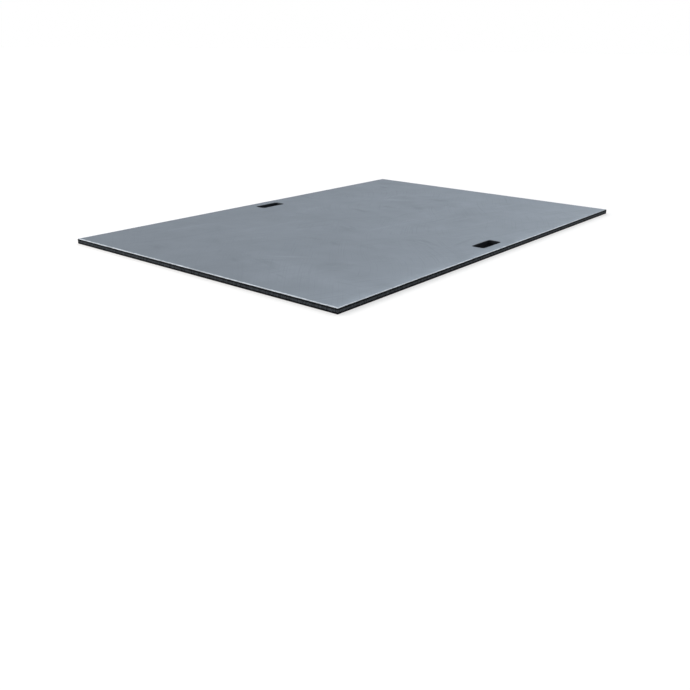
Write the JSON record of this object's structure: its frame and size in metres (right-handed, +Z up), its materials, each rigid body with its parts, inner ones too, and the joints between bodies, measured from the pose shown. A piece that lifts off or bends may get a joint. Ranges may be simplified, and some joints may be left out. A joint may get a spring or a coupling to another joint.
{
  "type": "ground protection mat",
  "caption": "Flat rectangular board of black recycled polyethylene with a routed hand slot at the middle of each long edge, laid down to carry wheels and feet over soft ground.",
  "frame": {"origin": "centre of the underside, on the ground", "axes": "+X along the mat's length, +Y across it towards one hand slot, +Z up through its thickness"},
  "size_m": [1.8, 1.2, 0.018],
  "materials": {
    "board": "black recycled polyethylene, satin moulded faces, rough sawn edges"
  },
  "bodies": {
    "root": {"mat": "board"}
  },
  "joints": []
}
